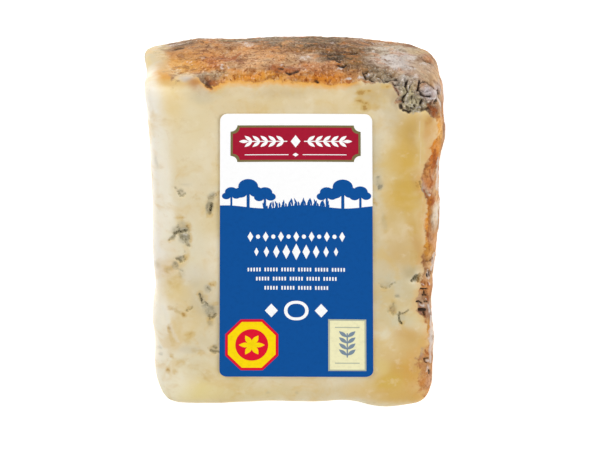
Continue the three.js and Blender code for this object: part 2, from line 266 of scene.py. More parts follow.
# Broad tints: centre x and y, half width, half height, colour and strength, each over the one before it.
# Patches, which lie all over: colour, wavelength in millimetres, seed and strength.
PASTE_COLOUR = "dfcda6"
PASTE_PATCHES = [("d9c184", 15, 61, 0.6), ("e6dcc2", 12, 62, 0.6)]
PASTE_TINTS = [
    (153, 230, 19, 210, "e8e2d6", 1), (154, 128, 11, 34, "f0ebdf", 0.9), (188, 130, 28, 62, "e4d5b0", 0.7),
    (172, 98, 14, 26, "e6c984", 0.6), (166, 67, 7, 9, "c99a54", 0.9), (168, 77, 11, 9, "cc9036", 1),
    (187, 84, 26, 5, "c9a566", 0.8), (187, 75, 12, 3, "bb9672", 0.9), (189, 78.5, 9, 3.2, "b0a396", 1),
    (199, 83.5, 9, 6, "ab7440", 0.95), (208, 89, 8, 4, "a8805e", 0.85), (155, 58, 13, 14, "bfae8c", 1),
    (156, 53, 3, 4, "d6aa52", 0.5), (152, 61, 3, 6, "d2b45e", 0.45), (290, 100, 90, 14, "ddc89c", 0.7),
    # The first tint below is painted shade: a soft dark band under the edge of the rind.
    (280, 89, 86, 7, "c9b288", 0.75), (352, 83.5, 7, 4.5, "a8783c", 0.85),
    (190, 208, 28, 46, "e0d3b2", 0.7), (190, 246, 14, 26, "ddd4b8", 0.6), (167, 268, 12, 8, "d9bd96", 0.5),
    (195, 272, 16, 9, "dcd3bd", 0.8), (175, 291, 15, 15, "dec588", 0.75), (205, 300, 18, 24, "cdbf9d", 0.8),
    (178, 326, 20, 16, "dbc48e", 0.6), (163, 330, 7, 44, "eee6d1", 0.9), (165, 190, 8, 60, "f0e9d6", 0.75),
    (203, 342, 15, 15, "d2c4a0", 0.7), (190, 368, 24, 13, "dbd0ae", 0.7),
    (196, 392, 30, 10, "e4d294", 0.95), (172, 384, 20, 18, "efe7cd", 0.75),
    (265, 392, 44, 10, "dac895", 0.8), (330, 392, 46, 10, "d5c297", 0.8),
    (394, 121, 22, 18, "d2be98", 0.85), (376, 170, 9, 40, "cfc2a2", 0.8), (372, 92, 22, 14, "c2ac82", 0.9),
    (390, 104, 12, 14, "c6b286", 0.8), (390, 92, 9, 7, "b39c76", 0.8), (396, 100, 4, 9, "a88e66", 0.8),
    (393, 180, 14, 44, "d4b670", 0.85), (408, 158, 13, 46, "cfa74a", 0.9), (414, 130, 8, 18, "c8a35a", 0.8),
    (402, 200, 18, 22, "cea84e", 0.9), (416, 183, 6, 14, "c89c4c", 0.7), (392, 226, 20, 18, "d1b57c", 0.8),
    (412, 232, 8, 16, "cba455", 0.9), (398, 256, 24, 18, "ccae76", 0.9), (388, 288, 22, 18, "c8bea0", 0.9),
    (380, 262, 7, 46, "d0c19d", 0.6), (408, 294, 9, 12, "cbbb93", 0.8), (410, 273, 10, 7, "b8a67c", 0.8),
    (392, 318, 24, 12, "cdc3a2", 0.8), (382, 331, 12, 7, "dfd4b6", 0.8), (411, 340, 16, 14, "cda560", 0.9),
    (392, 348, 22, 8, "d9be84", 0.7), (404, 372, 30, 22, "cfa556", 0.95), (388, 384, 18, 14, "d1ad50", 0.9),
    (360, 392, 16, 8, "dcc18a", 0.8), (380, 364, 10, 9, "dcc47e", 0.7), (428, 117, 9, 7, "bc8640", 0.9),
    (429, 130, 8, 11, "cf9c50", 0.85), (426, 150, 6, 14, "d2a662", 0.8), (422, 134, 4, 26, "d8bb7c", 0.8),
    (421, 222, 4, 30, "d3b070", 0.8), (417, 250, 5, 14, "c9a265", 0.9), (402, 396, 34, 8, "d2ac62", 0.95),
    # Painted shade: a soft dark band under the edge of the rind, at its left.
    (206, 94, 17, 7, "cdbf9f", 0.7),
]
RIND_COLOUR = "b98352"
RIND_PATCHES = [
    ("8f7856", 16, 71, 0.8), ("c98538", 11, 72, 0.7), ("8a5c38", 8, 73, 0.6), ("c4b4a6", 13, 74, 0.7),
    ("6f5f4b", 7, 75, 0.5),
]
RIND_TINTS = [
    # The curved side, in rows from the top left.
    (230, 40, 80, 5, "8e7552", 1), (188, 45, 20, 4, "8a6c48", 0.9), (266, 42, 14, 4, "776a5a", 0.9),
    (247, 44, 9, 2.5, "c9bbab", 0.8), (314, 38, 38, 3, "7f6c50", 0.9), (320, 44, 30, 5, "5f4d32", 1),
    (230, 52, 66, 6, "bf8850", 1), (328, 51, 40, 6, "7c542a", 1), (358, 50, 20, 8, "6f4e28", 1),
    (182, 65, 20, 8, "cf9440", 1), (208, 66, 16, 7, "c58634", 1), (190, 55, 22, 5, "bd8548", 0.9),
    (161, 56, 8, 18, "cdb78c", 1), (178, 48, 16, 3.4, "7c5e42", 0.9), (255, 62, 34, 9, "cb9c6c", 0.95),
    (228, 58, 14, 3, "b06428", 0.9), (212, 64, 8, 5, "b8692a", 0.8), (308, 58, 16, 3.6, "d2b292", 0.9),
    (336, 60, 20, 8, "46341c", 1), (318, 67, 22, 7, "b87c4c", 0.95), (357, 62, 12, 12, "805c30", 1),
    (190, 76, 12, 4.5, "ae9074", 0.95), (214, 76, 18, 3.4, "9a8e74", 0.95), (262, 77, 44, 6, "cc8a30", 1),
    (211, 83, 10, 7, "64402e", 1), (255, 75, 8, 4, "d4893a", 0.9), (284, 70, 15, 6, "9e5c30", 0.9),
    (322, 78, 28, 6, "c47822", 1), (354, 76, 10, 6, "ac7644", 0.9), (390, 52, 20, 10, "b9aa94", 0.9),
    (403, 61, 20, 10, "bab0aa", 1), (402, 48, 26, 5, "bbae98", 0.95), (420, 64, 13, 10, "b99e82", 0.9),
    (427, 59, 8, 3, "b5702f", 0.85), (418, 50, 14, 4, "bb9d6a", 0.7), (436, 82, 6, 30, "cba77e", 1),
    # The mould and the crust beside it.
    (379, 75, 18, 9, "9c8464", 1), (388, 81, 8, 4, "9c9280", 0.9), (401, 86, 8, 14, "b2a292", 1),
    (411, 98, 10, 18, "bbaf8c", 1), (429, 91, 9, 8, "bcafb0", 1), (410, 78, 10, 5, "aca092", 0.9),
    (425, 104, 6, 6, "ab9a78", 0.9), (433, 111, 8, 8, "87573a", 1), (410, 110, 9, 4, "aaa080", 0.8),
    # The rim of the flat end, from the top down.
    (438, 130, 6, 14, "e2a244", 1), (434, 146, 6, 12, "d9882a", 1), (431, 162, 5, 12, "c86c1c", 1),
    (427, 172, 5, 10, "d69450", 0.9), (428, 184, 5, 7, "c67c3e", 0.9), (433, 193, 4, 5, "c99c70", 0.9),
    (430, 202, 6, 5, "b0621e", 1), (437, 182, 2.4, 34, "dba768", 0.9), (428, 226, 4, 24, "d88a22", 1),
    (437, 214, 3, 15, "dfd0b8", 0.9), (434, 244, 4, 12, "cf9a6c", 1), (426, 254, 5, 12, "d09030", 0.9),
    (430, 266, 6, 12, "dcae7c", 1), (424, 290, 7, 8, "cb803a", 0.9), (421, 302, 7, 7, "bb9878", 0.9),
    (423, 311, 6, 5, "946650", 1), (426, 332, 3, 16, "d39236", 1), (431, 334, 4, 18, "e0d0c0", 1),
    (427, 352, 5, 6, "c5803c", 1), (424, 364, 8, 9, "be8a58", 1), (424, 384, 9, 14, "c98848", 1),
    (430, 380, 3, 12, "d0a07c", 0.8),
]

# ---- Fields ----

# How far each seed shifts the noise, in wavelengths, and what brings it to about -1 to 1.
SEED_SHIFT = 7.31
NOISE_HEIGHT = 1.6
# Large odd numbers that mix a cell's place, the seed and their bits into a random number.
PLACE_MIXERS = (73856093, 19349663, 83492791)
SEED_MIXER = 2654435761
BIT_MIXER = 1274126177
THIRTY_ONE_BITS = 0x7FFFFFFF
TEN_BITS = 1023

# Where a blot, a line and a tint begin to show, and where they are full, as shares of their reach.
BLOT_EDGE = (1.25, 0.35)
LINE_EDGE = (1, 0.25)
TINT_EDGE = (1.6, 0.25)
# How much further than half its width a line reaches.
LINE_SPREAD = 1.3


def smoothstep(low, high, value):
    """0 below low, 1 above high and smooth between, or the other way round if low is above high."""
    step = np.clip((value - low) / (high - low), 0, 1)
    return step * step * (3 - 2 * step)


def noise_at(points, wavelength, seed):
    """Smooth noise from about -1 to 1, in space."""
    place = points / wavelength + seed * SEED_SHIFT
    cell = np.floor(place).astype(np.int64)
    inside = place - cell
    ease = inside**3 * (inside * (inside * 6 - 15) + 10)
    total = np.zeros(len(points))
    for corner in np.ndindex(2, 2, 2):
        mixed = np.bitwise_xor.reduce((cell + corner) * PLACE_MIXERS, axis=1) ^ (seed * SEED_MIXER)
        mixed = (mixed ^ (mixed >> 13)) * BIT_MIXER & THIRTY_ONE_BITS
        slopes = np.stack([mixed >> shift & TEN_BITS for shift in (0, 10, 20)], axis=1) / (TEN_BITS / 2) - 1
        weight = np.prod(np.where(corner, ease, 1 - ease), axis=1)
        total += weight * np.sum(slopes * (inside - corner), axis=1)
    return total * NOISE_HEIGHT


def cloudy(points, wavelength, seed, octaves=3):
    """Noise with finer noise on top of it, from about -1 to 1."""
    return sum(noise_at(points, wavelength / 2**k, seed + k) / 2**k for k in range(octaves)) / 1.5


def ridged(points, wavelength, seed):
    """1 along thin winding crests and falling to 0 between them."""
    crests = [(1 - np.abs(noise_at(points, wavelength / 2**k, seed + k))) ** 4 / 2**k for k in range(3)]
    return sum(crests) / 1.75


def folds(points, wavelength, seed):
    """Rounded lobes at 1, parted by narrow winding creases at 0, with shallow finer creases in them."""
    valley, fine_valley = (
        smoothstep(0, 0.3, np.abs(noise_at(points, wavelength / 1.8**k, seed + k))) for k in (0, 1)
    )
    return valley * (0.45 + 0.55 * fine_valley)


def photo_pixels(points):
    """Where the points fall on the photo."""
    scale = FOCAL_PIXELS / (CAMERA_HEIGHT - points[:, 2])
    across = PHOTO_WIDTH / 2 + (points[:, 0] - CAMERA_X) * scale
    down = PHOTO_HEIGHT / 2 - (points[:, 1] - CAMERA_Y) * scale
    return np.stack([across, down], axis=1)


def ellipse_distance(pixels, x, y, half_width, half_height, turn=0):
    """1 on the ellipse, 0 at its centre."""
    dx, dy = pixels[:, 0] - x, y - pixels[:, 1]
    cos, sin = math.cos(math.radians(turn)), math.sin(math.radians(turn))
    return np.hypot((dx * cos + dy * sin) / half_width, (dy * cos - dx * sin) / half_height)


def line_distance(pixels, corners):
    """How far each point lies from the line, in pixels."""
    nearest = np.full(len(pixels), np.inf)
    for start, end in zip(corners, corners[1:]):
        along = end - start
        share = np.clip((pixels - start) @ along / (along @ along), 0, 1)
        nearest = np.minimum(nearest, np.linalg.norm(pixels - start - share[:, None] * along, axis=1))
    return nearest


def blotted(blots, pixels):
    """How strongly the blots cover each point."""
    cover = np.zeros(len(pixels))
    for x, y, half_width, half_height, strength, *turn in blots:
        reach = ellipse_distance(pixels, x, y, half_width, half_height, *turn)
        cover = np.maximum(cover, strength * smoothstep(*BLOT_EDGE, reach))
    return cover


def ruled(lines, pixels, widen=0):
    """How strongly the lines cover each point."""
    cover = np.zeros(len(pixels))
    for *path, half_width, strength in lines:
        corners = np.reshape(path, (-1, 2))
        edge = LINE_SPREAD * (half_width + widen)
        around = (pixels > corners.min(axis=0) - edge) & (pixels < corners.max(axis=0) + edge)
        close = np.all(around, axis=1)
        reach = line_distance(pixels[close], corners) / edge
        cover[close] = np.maximum(cover[close], strength * smoothstep(*LINE_EDGE, reach))
    return cover


def linear(colour):
    """A hexadecimal sRGB colour in linear light."""
    channels = np.array([int(colour[k : k + 2], 16) for k in (0, 2, 4)]) / 255
    return np.where(channels <= 0.04045, channels / 12.92, ((channels + 0.055) / 1.055) ** 2.4)


# ---- Meshes ----


def vectors(items, name):
    """One vector of each item, as rows."""
    flat = np.empty(len(items) * 3)
    items.foreach_get(name, flat)
    return flat.reshape(-1, 3)


def points_of(mesh):
    """The mesh's vertices, in millimetres."""
    return vectors(mesh.vertices, "co") / MM


def move_points(mesh, points):
    mesh.vertices.foreach_set("co", (points * MM).ravel())
    mesh.update()


def store(mesh, name, values):
    """Keeps one number for each vertex, for the material to read."""
    layer = mesh.attributes.new(name, "FLOAT", "POINT")
    layer.data.foreach_set("value", values.astype(np.float32))


def store_colour(mesh, name, colours):
    """Keeps one colour for each vertex, for the material to read."""
    layer = mesh.attributes.new(name, "FLOAT_COLOR", "POINT")
    opaque = np.column_stack([colours, np.ones(len(colours))])
    layer.data.foreach_set("color", opaque.astype(np.float32).ravel())


def add_piece(mesh, name):
    """Puts the mesh in the scene as a smooth piece that rides on the one body."""
    mesh.polygons.foreach_set("use_smooth", [True] * len(mesh.polygons))
    piece = bpy.data.objects.new(name, mesh)
    bpy.context.scene.collection.objects.link(piece)
    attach(piece, "root")
    return piece


# ---- The label's surface ----

LABEL_BOX = [np.array(corner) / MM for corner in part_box("label")]
LABEL_CENTRE = (LABEL_BOX[0] + LABEL_BOX[1]) / 2
LABEL_WIDTH = LABEL_BOX[1][0] - LABEL_BOX[0][0]
LABEL_HEIGHT = (LABEL_BOX[1][1] - LABEL_BOX[0][1]) / math.cos(WEDGE_ANGLE)
# How far beyond the label's edges and below its plane the cheese is kept clear of the paper.
PAPER_MARGIN = 1
PAPER_DEPTH = 5


def terms(x, y):
    """The terms of the smooth surface that the stiff paper takes, across and up the slope."""
    u, v = 2 * x / LABEL_WIDTH, 2 * y / LABEL_HEIGHT
    return np.stack([u**i * v**j for i in range(4) for j in range(5) if i + j <= 4], axis=-1)


def on_slope(points):
    """How far each point lies across the label, up it and out of its plane, from its centre."""
    offset = points - LABEL_CENTRE
    return offset[:, 0], offset @ UP_SLOPE, offset @ OUT_OF_SLOPE


def fit_paper():
    """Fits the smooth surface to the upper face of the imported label."""
    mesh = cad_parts["label"].data
    upper = vectors(mesh.vertex_normals, "vector") @ OUT_OF_SLOPE > 0.9
    x, y, height = on_slope(points_of(mesh)[upper])
    return np.linalg.lstsq(terms(x, y), height, rcond=None)[0]


PAPER_SHAPE = fit_paper()


def paper_height(x, y):
    """The paper's upper face above the label's centre plane."""
    return terms(x, y) @ PAPER_SHAPE


def on_label(x, y, lift):
    """Points given across and up the label and above its paper, tapered and in the frame."""
    height = paper_height(x, y) + lift
    x = x * (1 - LABEL_TAPER * y / (LABEL_HEIGHT / 2))
    return LABEL_CENTRE + np.outer(x, [1, 0, 0]) + np.outer(y, UP_SLOPE) + np.outer(height, OUT_OF_SLOPE)


def keep_clear_of_paper(points):
    """Presses down whatever would reach the paper."""
    x, y, height = on_slope(points)
    near = (np.abs(x) < LABEL_WIDTH / 2 + PAPER_MARGIN) & (np.abs(y) < LABEL_HEIGHT / 2 + PAPER_MARGIN)
    highest = paper_height(x, y) - PAPER_THICKNESS - CLEAR_BELOW_PAPER
    excess = np.where(near & (height > -PAPER_DEPTH), np.maximum(height - highest, 0), 0)
    return points - excess[:, None] * OUT_OF_SLOPE


# ---- The cheese ----

# How far up a face has to point to be split for fine relief, and to be matched with the photo.
FINE_ABOVE = -0.2
SHOWN_ABOVE = 0.05
# The bands of X over which the rind thins out at the left cut, and the golden edge under the rind begins.
LEFT_END_X = (-35.5, -37.5)
GOLDEN_X = (-28, -21)
# The rind is told from the paste only this far to both sides of the border between them.
BORDER_REACH = 5

# How high each kind of relief is, in millimetres.
PASTE_WAVES = 0.16
VEIN_CRUMBS = 0.2
VEIN_DEPTH = 0.25
PALE_RISE = 0.15
RIND_WAVES = 0.45
RIND_GRAIN = 0.2
RIND_CRACKS = 0.16
BLOOM_RISE = 0.12
DARK_DEPTH = 0.35
MOULD_LOBES = 1.2
MOULD_GRAIN = 0.45
MOULD_CRUMBS = 0.4
MOULD_DARK_DEPTH = 0.1


def split_faces(mesh, chosen):
    """Splits each chosen face in four."""
    shape = bmesh.new()
    shape.from_mesh(mesh)
    shape.faces.ensure_lookup_table()
    edges = {edge for index in np.nonzero(chosen)[0] for edge in shape.faces[index].edges}
    bmesh.ops.subdivide_edges(shape, edges=list(edges), cuts=1, use_grid_fill=True)
    shape.to_mesh(mesh)
    shape.free()


def smooth_copy(node):
    """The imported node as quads, rounded off by one level of subdivision."""
    shape = bmesh.new()
    shape.from_mesh(node.data)
    bmesh.ops.remove_doubles(shape, verts=shape.verts, dist=1e-6)
    bmesh.ops.join_triangles(
        shape, faces=shape.faces, angle_face_threshold=math.pi, angle_shape_threshold=math.pi
    )
    mesh = bpy.data.meshes.new("cheese")
    shape.to_mesh(mesh)
    shape.free()
    holder = bpy.data.objects.new("holder", mesh)
    bpy.context.scene.collection.objects.link(holder)
    holder.modifiers.new("rounding", "SUBSURF").levels = 1
    smoothed = bpy.data.meshes.new_from_object(holder.evaluated_get(bpy.context.evaluated_depsgraph_get()))
    bpy.data.objects.remove(holder)
    return smoothed


def faces_at(mesh, cover):
    """The faces that cover(pixels) reaches, among those that the photo shows."""
    chosen = vectors(mesh.polygons, "normal")[:, 2] > SHOWN_ABOVE
    pixels = photo_pixels(vectors(mesh.polygons, "center") / MM)
    chosen[chosen] = cover(pixels[chosen]) > 0
    return chosen


def cheese_mesh():
    """The cheese in quads about 0.6 mm apart where it is seen from above, and closer at the marks."""
    mesh = smooth_copy(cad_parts["cheese"])
    split_faces(mesh, vectors(mesh.polygons, "normal")[:, 2] > FINE_ABOVE)
    lines = VEIN_LINES + DARK_LINES + RUST_LINES + BLOOM_LINES
    mould = [(*place, 1) for place in MOULD]
    split_faces(mesh, faces_at(mesh, lambda pixels: ruled(lines, pixels, 3) + blotted(mould, pixels)))
    split_faces(mesh, faces_at(mesh, lambda pixels: ruled(lines, pixels, 1)))
    return mesh


class Cheese:
    """What the relief and the colours of the cheese depend on, at each vertex. Shares go from 0 to 1."""

    def __init__(self, mesh):
        self.points = points_of(mesh)
        self.normals = vectors(mesh.vertex_normals, "vector")
        x, y, z = self.points.T
        upward = self.normals[:, 2]
        self.under_curve = DRUM_RADIUS - np.hypot(y - AXIS_Y, z)
        self.under_end = RIND_END_X - x
        # How much of a point the photo shows, how far the broad tints reach, and where relief is allowed.
        self.seen = smoothstep(0.06, 0.28, upward)
        self.tintable = smoothstep(-0.12, 0.08, upward)
        self.off_floor = smoothstep(-0.85, -0.6, upward) * smoothstep(0, 1, z)

        # Where the points fall on the photo, and the same swayed about for marks with ever softer edges.
        broad, coarse, fine = self.sway(10, 45), self.sway(4.5, 41), self.sway(1.3, 43)
        self.pixels = photo_pixels(self.points)
        self.nearly_true = self.pixels + 0.4 * coarse + 0.7 * fine
        self.warped = self.pixels + 1.4 * coarse + fine
        self.softly_warped = self.pixels + 2.4 * coarse + 1.8 * fine
        breadth = 17 - 10 * self.seen[:, None]
        self.widely_warped = self.pixels + breadth * broad + 3 * coarse + 1.5 * fine

        # The areas with looks of their own, where the photo shows them.
        across, down = self.warped[:, 0], self.pixels[:, 1]
        mould = [smoothstep(1.15, 0.8, ellipse_distance(self.warped, *place)) for place in MOULD]
        self.mould = self.seen * np.maximum.reduce(mould)
        self.near_lobe = self.seen * smoothstep(*LEFT_LOBE_X, across)
        self.on_rim = self.seen * smoothstep(*RIM_Y, down)
        beside_mould = self.seen * smoothstep(*MOULD_SIDE_X, across) * smoothstep(*MOULD_SIDE_Y, down)
        near_right_edge = self.seen * smoothstep(*RIGHT_EDGE_X, across) * (1 - self.on_rim)
        self.golden = smoothstep(*GOLDEN_X, x + coarse[:, 0]) * (1 - beside_mould) * (1 - 0.6 * self.on_rim)
        self.rough = 1 - 0.6 * self.on_rim - 0.75 * self.near_lobe - 0.6 * near_right_edge

    def sway(self, wavelength, seed):
        """Noise in two directions."""
        return np.stack([cloudy(self.points, wavelength, seed + k, 2) for k in (0, 1)], axis=1)


def inside_rind(cheese):
    """How far each point lies inside the rind, in millimetres, and below zero outside it."""
    across, down = cheese.warped.T
    from_curve = np.interp(across, *np.transpose(CURVED_RIND_EDGE)) - down
    from_end = across - np.interp(down, *np.transpose(END_RIND_EDGE))
    drawn = np.maximum(from_curve, from_end) / PIXELS_PER_MM
    low_rim = cheese.on_rim * smoothstep(*LOW_RIM_Y, down)
    drawn *= 1 - np.maximum(0.88 * cheese.near_lobe, 0.7 * low_rim)
    to_corner = [np.maximum(RIND_CORNER - depth, 0) for depth in (cheese.under_curve, cheese.under_end)]
    made_up = RIND_DEPTH - (RIND_CORNER - np.hypot(*to_corner))
    made_up += 0.4 * cloudy(cheese.points, 3.5, 11) - 3 * smoothstep(*LEFT_END_X, cheese.points[:, 0])
    return np.clip(made_up + cheese.seen * (drawn - made_up), -BORDER_REACH, BORDER_REACH)


def marks_of(cheese):
    """How strongly each kind of mark shows: from the photo where it reaches, made up elsewhere."""
    points, seen = cheese.points, cheese.seen
    veined = smoothstep(-0.25, 0.2, cloudy(points, 15, 23))
    strands = ridged(points, 10, 21) * veined
    broken = smoothstep(-0.3, 0.2, cloudy(points, 3, 29, 2))
    cracks = ridged(points * [1, 1, 1.6], 11, 31) + 0.2 * cloudy(points, 6, 25)
    made_up = {
        "vein": np.maximum(smoothstep(0.4, 0.9, strands) * broken, 0.45 * veined * (1 - broken)),
        "line": 1.2 * smoothstep(0.65, 0.85, strands) * broken,
        "ochre": 0.9 * smoothstep(0.3, 0.7, strands) * smoothstep(0.1, -0.3, cloudy(points, 5, 33)),
        "dark": 0.7 * smoothstep(0.75, 0.95, cracks) * smoothstep(0, 0.3, cloudy(points, 12, 27)),
        "bloom": smoothstep(0.05, 0.45, cloudy(points, 12, 35)),
    }
    drawn = {
        "vein": blotted(VEIN_BLOTS, cheese.warped),
        "ochre": blotted(OCHRE_BLOTS, cheese.softly_warped),
        "dark": ruled(DARK_LINES, cheese.nearly_true),
        "bloom": np.maximum(blotted(BLOOM_BLOTS, cheese.warped), ruled(BLOOM_LINES, cheese.nearly_true)),
        "line": ruled(VEIN_LINES, cheese.nearly_true, 0.7),
        "rust": ruled(RUST_LINES, cheese.nearly_true),
        "pale": ruled(PALE_LINES_AND_EDGE_HIGHLIGHTS, cheese.warped),
    }
    return {name: seen * cover + (1 - seen) * made_up.get(name, 0) for name, cover in drawn.items()}


def tinted(cheese, base, patches, tints):
    """One colour, with patches all over it, and then the broad tints where the photo reaches."""
    colours = np.tile(linear(base), (len(cheese.points), 1))
    for colour, wavelength, seed, strength in patches:
        cover = strength * smoothstep(0, 0.4, cloudy(cheese.points, wavelength, seed))
        colours += cover[:, None] * (linear(colour) - colours)
    for *ellipse, colour, strength in tints:
        reach = ellipse_distance(cheese.widely_warped, *ellipse)
        cover = strength * cheese.tintable * smoothstep(*TINT_EDGE, reach)
        colours += cover[:, None] * (linear(colour) - colours)
    return colours


def relief(cheese, rind, marks):
    """How far the skin rises or sinks, in millimetres, and how much painted shade each point gets in the
    rind's cracks and the mould's hollows, 0 to 1.
    """
    points = cheese.points
    vein, line, dark = (np.minimum(marks[name], 1) for name in ("vein", "line", "dark"))
    grain = cloudy(points, 1.5, 51, 2)
    cracked = 0.6 * smoothstep(-0.1, 0.4, cloudy(points, 8, 56))
    cracks = (1 - folds(points * [0.9, 0.5, 0.6], 2.4, 55)) * cracked
    drawn_folds = np.minimum(ruled(DARK_LINES, cheese.nearly_true, 1.8), 1)
    lobes = folds(points + 0.5 * cloudy(points, 1.8, 58, 2)[:, None], 2.5, 57) * (1 - 0.7 * drawn_folds)

    on_rind = RIND_WAVES * cloudy(points, 6, 53, 2) - RIND_CRACKS * cracks + RIND_GRAIN * grain
    crumbs = VEIN_CRUMBS * vein * (cloudy(points, 1.2, 61, 2) - 1)
    on_paste = PASTE_WAVES * cloudy(points, 8, 59, 2) + crumbs - VEIN_DEPTH * line
    on_mould = MOULD_LOBES * (lobes - 0.7) + MOULD_GRAIN * grain + MOULD_CRUMBS * cloudy(points, 0.9, 63, 2)
    rise = rind * (cheese.rough * on_rind + BLOOM_RISE * marks["bloom"])
    rise += (1 - rind) * on_paste + PALE_RISE * marks["pale"]
    rise += cheese.mould * on_mould - (DARK_DEPTH + MOULD_DARK_DEPTH * cheese.mould) * dark
    rise += LEFT_FULLNESS * smoothstep(0.3, 0.9, -cheese.normals[:, 0])
    # Painted shade, deepest in the rind's cracks and in the hollows between the mould's lobes.
    crease_shade = np.maximum(0.3 * rind * cracks * cheese.rough**2, 0.7 * cheese.mould * (1 - lobes))
    return rise * cheese.off_floor, crease_shade


def swell_corners(cheese, points):
    for x, y, reach, across, up in CORNER_SWELLS:
        near_corner = smoothstep(1, 0, ellipse_distance(cheese.pixels, x, y, reach, reach))
        points = points + np.outer(near_corner, [across, up, 0])
    return points


def make_cheese():
    mesh = cheese_mesh()
    cheese = Cheese(mesh)
    inside = inside_rind(cheese)
    marks = marks_of(cheese)
    rise, crease_shade = relief(cheese, smoothstep(-0.4, 0.4, inside), marks)
    moved = swell_corners(cheese, cheese.points + rise[:, None] * cheese.normals)
    moved = keep_clear_of_paper(moved)
    moved[:, 2] = np.maximum(moved[:, 2], 0)
    move_points(mesh, moved)
    areas = {"inside": inside, "crease_shade": crease_shade}
    areas |= {name: getattr(cheese, name) for name in ("mould", "rough", "golden")}
    for name, values in (areas | marks).items():
        store(mesh, name, values)
    store_colour(mesh, "paste_tint", tinted(cheese, PASTE_COLOUR, PASTE_PATCHES, PASTE_TINTS))
    store_colour(mesh, "rind_tint", tinted(cheese, RIND_COLOUR, RIND_PATCHES, RIND_TINTS))
    mesh.materials.clear()
    mesh.materials.append(cheese_material())
    piece = add_piece(mesh, "cheese_wedge")
    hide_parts("cheese")


# ---- Materials ----


class Shader:
    """A material's nodes, made by short calls. Textures are laid out in millimetres of the frame."""

    def __init__(self, name):
        self.material = bpy.data.materials.new(name)
        self.material.use_nodes = True
        self.tree = self.material.node_tree
        self.surface = self.tree.nodes["Principled BSDF"]
        self.place = self.tree.nodes.new("ShaderNodeTexCoord").outputs["Object"]

    def feed(self, socket, value):
        if isinstance(value, bpy.types.NodeSocket):
            self.tree.links.new(value, socket)
        else:
            socket.default_value = value

    def attribute(self, name, output="Fac"):
        node = self.tree.nodes.new("ShaderNodeAttribute")
        node.attribute_name = name
        return node.outputs[output]

    def squeezed_place(self, factors):
        node = self.tree.nodes.new("ShaderNodeVectorMath")
        node.operation = "MULTIPLY"
        node.inputs[1].default_value = factors
        self.tree.links.new(self.place, node.inputs[0])
        return node.outputs["Vector"]

    def noise(self, wavelength, detail=3, roughness=0.55, distortion=0, squeeze=None):
        """Noise from 0 to 1 around 0.5, with its features about a wavelength apart."""
        node = self.tree.nodes.new("ShaderNodeTexNoise")
        node.inputs["Scale"].default_value = 1 / (wavelength * MM)
        node.inputs["Detail"].default_value = detail
        node.inputs["Roughness"].default_value = roughness
        node.inputs["Distortion"].default_value = distortion
        place = self.squeezed_place(squeeze) if squeeze else self.place
        self.tree.links.new(place, node.inputs["Vector"])
        return node.outputs["Fac"]

    def maths(self, operation, first, second=0.0, third=0.0):
        node = self.tree.nodes.new("ShaderNodeMath")
        node.operation = operation
        for socket, value in zip(node.inputs, (first, second, third)):
            self.feed(socket, value)
        return node.outputs[0]

    def scaled(self, value, factor):
        return self.maths("MULTIPLY", value, factor)

    def from_middle(self, noise, factor, base):
        """The base, raised and lowered by the noise."""
        return self.maths("MULTIPLY_ADD", self.maths("SUBTRACT", noise, 0.5), factor, base)

    def step(self, value, low, high):
        """0 at low, 1 at high and smooth between."""
        node = self.tree.nodes.new("ShaderNodeMapRange")
        node.interpolation_type = "SMOOTHSTEP"
        self.feed(node.inputs["Value"], value)
        node.inputs["From Min"].default_value = low
        node.inputs["From Max"].default_value = high
        return node.outputs["Result"]

    def ragged(self, cover, noise, amount, low, high):
        """A soft cover, with its edge broken up by noise."""
        return self.step(self.from_middle(noise, amount, cover), low, high)

    def mottled(self, cover, noise, amount, low, high):
        """A soft cover, made stronger and weaker by noise, but still nothing where it is 0."""
        strength = self.maths("MULTIPLY_ADD", noise, amount, 1 - amount / 2)
        return self.step(self.scaled(cover, strength), low, high)

    def mix(self, under, over, cover, blend="MIX"):
        node = self.tree.nodes.new("ShaderNodeMix")
        node.data_type = "RGBA"
        node.blend_type = blend
        self.feed(node.inputs["Factor"], cover)
        for socket, colour in ((node.inputs["A"], under), (node.inputs["B"], over)):
            self.feed(socket, (*linear(colour), 1) if isinstance(colour, str) else colour)
        return node.outputs["Result"]

    def layered(self, colour, *layers):
        """Lays layers over a colour: each a colour, a strength, a cover and, if it isn't MIX, a blend."""
        for over, strength, cover, *blend in layers:
            colour = self.mix(colour, over, self.scaled(cover, strength), *blend)
        return colour

    def bump(self, height, distance, below=None):
        """A normal from a height of 0 to 1, on top of another normal."""
        node = self.tree.nodes.new("ShaderNodeBump")
        node.inputs["Distance"].default_value = distance * MM
        self.tree.links.new(height, node.inputs["Height"])
        if below is not None:
            self.tree.links.new(below, node.inputs["Normal"])
        return node.outputs["Normal"]

    def finish(self, colour, roughness, normal=None, **constants):
        self.feed(self.surface.inputs["Base Color"], colour)
        self.feed(self.surface.inputs["Roughness"], roughness)
        if normal is not None:
            self.tree.links.new(normal, self.surface.inputs["Normal"])
        for name, value in constants.items():
            self.surface.inputs[name.replace("_", " ")].default_value = value
        return self.material


